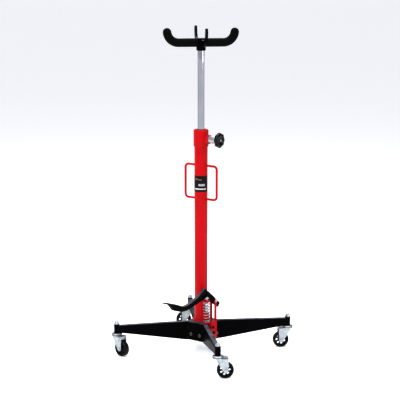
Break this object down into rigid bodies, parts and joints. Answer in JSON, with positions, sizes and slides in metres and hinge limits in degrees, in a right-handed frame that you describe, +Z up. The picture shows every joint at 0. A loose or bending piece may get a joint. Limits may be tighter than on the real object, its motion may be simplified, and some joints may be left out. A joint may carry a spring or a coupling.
{
  "type": "transmission jack",
  "caption": "Free-standing foot-pumped telescopic jack on wheeled crossed legs, with a chromed ram, clamp knob, side grab handles and an upturned padded saddle.",
  "frame": {"origin": "on the floor, midway between the four caster stems", "axes": "+Z up along the column; +X and +Y along two neighbouring legs; the pump stands on the diagonal between +X and -Y"},
  "size_m": [0.86, 0.8598, 1.506],
  "materials": {
    "red_paint": "gloss",
    "black_paint": "satin",
    "zinc_plate": "satin",
    "plain_steel": "satin",
    "hard_chrome": "polished",
    "soft_sleeve": "matte",
    "seal_rubber": "matte",
    "wheel_plastic": "satin",
    "knob_plastic": "gloss",
    "bronze": "satin",
    "label_film": "satin"
  },
  "bodies": {
    "base": {"base_box": "black_paint", "top_plate": "red_paint", "leg_right": "black_paint", "leg_rear": "black_paint", "leg_left": "black_paint", "leg_front": "black_paint", "leg_bolts": "black_paint", "caster_stems": "zinc_plate", "caster_nuts": "zinc_plate", "caster_races": "zinc_plate", "swivel_bearings": "plain_steel", "outer_tube": "red_paint", "top_collar": "red_paint", "gland_nut": "bronze", "wiper_seal": "seal_rubber", "inner_cylinder": "plain_steel", "filler_plug": "red_paint", "label": "label_film", "handle_near": "red_paint", "handle_far": "red_paint", "clamp_boss": "zinc_plate", "pump_block": "red_paint", "pump_cylinder": "plain_steel", "block_screws": "black_paint", "check_balls": "plain_steel", "fulcrum_links": "red_paint", "fulcrum_pin": "zinc_plate"},
    "knob": {"clamp_screw": "zinc_plate", "star_knob": "knob_plastic", "clamp_pad": "bronze"},
    "ram": {"ram": "hard_chrome", "piston_head": "plain_steel", "piston_seal": "seal_rubber"},
    "saddle": {"saddle_hub": "black_paint", "saddle_bar": "black_paint", "sleeve_right": "soft_sleeve", "sleeve_left": "soft_sleeve", "arm_front": "black_paint", "arm_rear": "black_paint"},
    "valve": {"release_screw": "zinc_plate"},
    "pedal": {"lever_bar": "black_paint", "press_pad": "plain_steel", "pedal_plate": "black_paint"},
    "plunger": {"pump_plunger": "hard_chrome", "spring_cap": "red_paint", "pump_spring": "zinc_plate"},
    "caster_right": {"fork_right": "zinc_plate", "axle_right": "zinc_plate"},
    "roller_right": {"wheel_right": "wheel_plastic"},
    "caster_rear": {"fork_rear": "zinc_plate", "axle_rear": "zinc_plate"},
    "roller_rear": {"wheel_rear": "wheel_plastic"},
    "caster_left": {"fork_left": "zinc_plate", "axle_left": "zinc_plate"},
    "roller_left": {"wheel_left": "wheel_plastic"},
    "caster_front": {"fork_front": "zinc_plate", "axle_front": "zinc_plate"},
    "roller_front": {"wheel_front": "wheel_plastic"}
  },
  "joints": [
    {"name": "ram_lift", "type": "slide", "parent": "base", "child": "ram", "axis": [0, 0, 1], "range_m": [-0.355, 0.4]},
    {"name": "saddle_turn", "type": "hinge", "parent": "ram", "child": "saddle", "pos_m": [-0.00848, 0.00848, 1.402], "axis": [0, 0, 1], "continuous": true},
    {"name": "knob_turn", "type": "hinge", "parent": "base", "child": "knob", "pos_m": [-0.00848, 0.00848, 1.002], "axis": [0.7071, -0.7071, 0], "range_deg": [0, 360]},
    {"name": "release_turn", "type": "hinge", "parent": "base", "child": "valve", "pos_m": [0.04646, -0.0507, 0.076], "axis": [0, 0, -1], "range_deg": [0, 120]},
    {"name": "pedal_press", "type": "hinge", "parent": "base", "child": "pedal", "pos_m": [0.04455, -0.02334, 0.247], "axis": [0.7071, -0.7071, 0], "range_deg": [0, 18], "stiffness_Nm_per_rad": 40, "springref_deg": -8.59},
    {"name": "plunger_stroke", "type": "slide", "parent": "base", "child": "plunger", "axis": [0, 0, -1], "range_m": [0, 0.019], "deforming": ["pump_spring"]},
    {"name": "right_swivel", "type": "hinge", "parent": "base", "child": "caster_right", "pos_m": [0.405, 0, 0.096], "axis": [0, 0, 1], "continuous": true},
    {"name": "right_roll", "type": "hinge", "parent": "caster_right", "child": "roller_right", "pos_m": [0.372, 0, 0.0375], "axis": [0, -1, 0], "continuous": true},
    {"name": "rear_swivel", "type": "hinge", "parent": "base", "child": "caster_rear", "pos_m": [0, 0.405, 0.096], "axis": [0, 0, 1], "continuous": true},
    {"name": "rear_roll", "type": "hinge", "parent": "caster_rear", "child": "roller_rear", "pos_m": [-0.033, 0.405, 0.0375], "axis": [0, -1, 0], "continuous": true},
    {"name": "left_swivel", "type": "hinge", "parent": "base", "child": "caster_left", "pos_m": [-0.405, 0, 0.096], "axis": [0, 0, 1], "continuous": true},
    {"name": "left_roll", "type": "hinge", "parent": "caster_left", "child": "roller_left", "pos_m": [-0.38423, -0.02565, 0.0375], "axis": [0.7771, 0.6293, 0], "continuous": true},
    {"name": "front_swivel", "type": "hinge", "parent": "base", "child": "caster_front", "pos_m": [0, -0.405, 0.096], "axis": [0, 0, 1], "continuous": true},
    {"name": "front_roll", "type": "hinge", "parent": "caster_front", "child": "roller_front", "pos_m": [0.033, -0.405, 0.0375], "axis": [0, 1, 0], "continuous": true}
  ],
  "couplings": [
    {"joint": "plunger_stroke", "follows": "pedal_press", "m_per_rad": 0.06}
  ]
}
